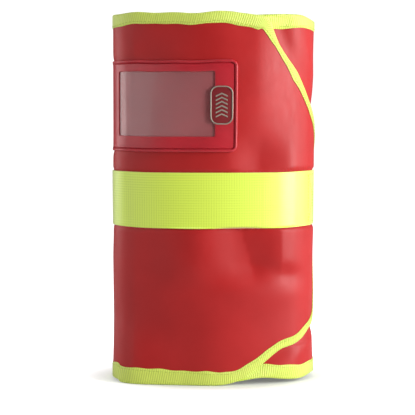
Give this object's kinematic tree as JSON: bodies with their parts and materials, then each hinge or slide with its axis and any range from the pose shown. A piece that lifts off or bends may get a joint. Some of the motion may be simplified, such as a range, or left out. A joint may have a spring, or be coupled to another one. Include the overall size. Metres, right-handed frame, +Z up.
{
  "type": "fire blanket",
  "caption": "Rolled fire blanket in a padded roll-up wrap with bound edges, a webbing strap, a card pocket and a flap that closes round the side.",
  "frame": {"origin": "on the floor, at the middle of the whole object's outline", "axes": "+Z up the roll, -Y towards the front with the card pocket, +X towards the side where the flap's tongue closes"},
  "size_m": [0.1928, 0.104, 0.34],
  "materials": {
    "red_cover": "satin",
    "foam": "matte",
    "lining": "matte",
    "lime_binding": "matte",
    "lime_webbing": "matte",
    "loop_tape": "matte",
    "hook_tape": "matte",
    "red_frame": "satin",
    "clear_film": "gloss",
    "badge_metal": "satin",
    "glass_fibre": "matte",
    "red_tape": "matte"
  },
  "bodies": {
    "wrap": {"wrap_cover": "red_cover", "wrap_padding": "foam", "wrap_lining": "lining", "wrap_binding": "lime_binding", "strap_base": "lime_webbing", "loop_patch": "loop_tape"},
    "flap": {"flap_cover": "red_cover", "flap_padding": "foam", "flap_lining": "lining", "flap_binding": "lime_binding", "flap_strap": "lime_webbing", "id_backing": "red_cover", "id_window": "clear_film", "id_frame": "red_frame", "badge": "badge_metal"},
    "tongue": {"tongue_cover": "red_cover", "tongue_padding": "foam", "tongue_lining": "lining", "tongue_binding": "lime_binding", "tongue_strap": "lime_webbing", "hook_patch": "hook_tape"},
    "pull_tab": {"strap_pull_tab": "lime_webbing"},
    "blanket": {"blanket_roll": "glass_fibre", "tape_anchor_left": "red_tape", "tape_anchor_right": "red_tape"},
    "left_tape": {"pull_tape_left": "red_tape"},
    "right_tape": {"pull_tape_right": "red_tape"}
  },
  "joints": [
    {"name": "flap_swing", "type": "hinge", "parent": "wrap", "child": "flap", "pos_m": [-0.09502, 0.00394, 0.168], "axis": [0, 0, -1], "range_deg": [0, 100]},
    {"name": "tongue_fold", "type": "hinge", "parent": "flap", "child": "tongue", "pos_m": [0.0736, -0.03363, 0.168], "axis": [0, 0, -1], "range_deg": [0, 170]},
    {"name": "pull_tab_lift", "type": "hinge", "parent": "tongue", "child": "pull_tab", "pos_m": [0.09637, 0.00606, 0.168], "axis": [0, 0, -1], "range_deg": [0, 120]},
    {"name": "blanket_slide", "type": "slide", "parent": "wrap", "child": "blanket", "axis": [0, 0, 1], "range_m": [0, 0.34]},
    {"name": "left_tape_lift", "type": "hinge", "parent": "blanket", "child": "left_tape", "pos_m": [-0.01893, 0.0031, 0.3229], "axis": [0, 1, 0], "range_deg": [0, 90]},
    {"name": "right_tape_lift", "type": "hinge", "parent": "blanket", "child": "right_tape", "pos_m": [0.01707, 0.0031, 0.3229], "axis": [0, -1, 0], "range_deg": [0, 90]}
  ],
  "couplings": [
    {"joint": "tongue_fold", "follows": "flap_swing", "ratio": 1.7}
  ]
}
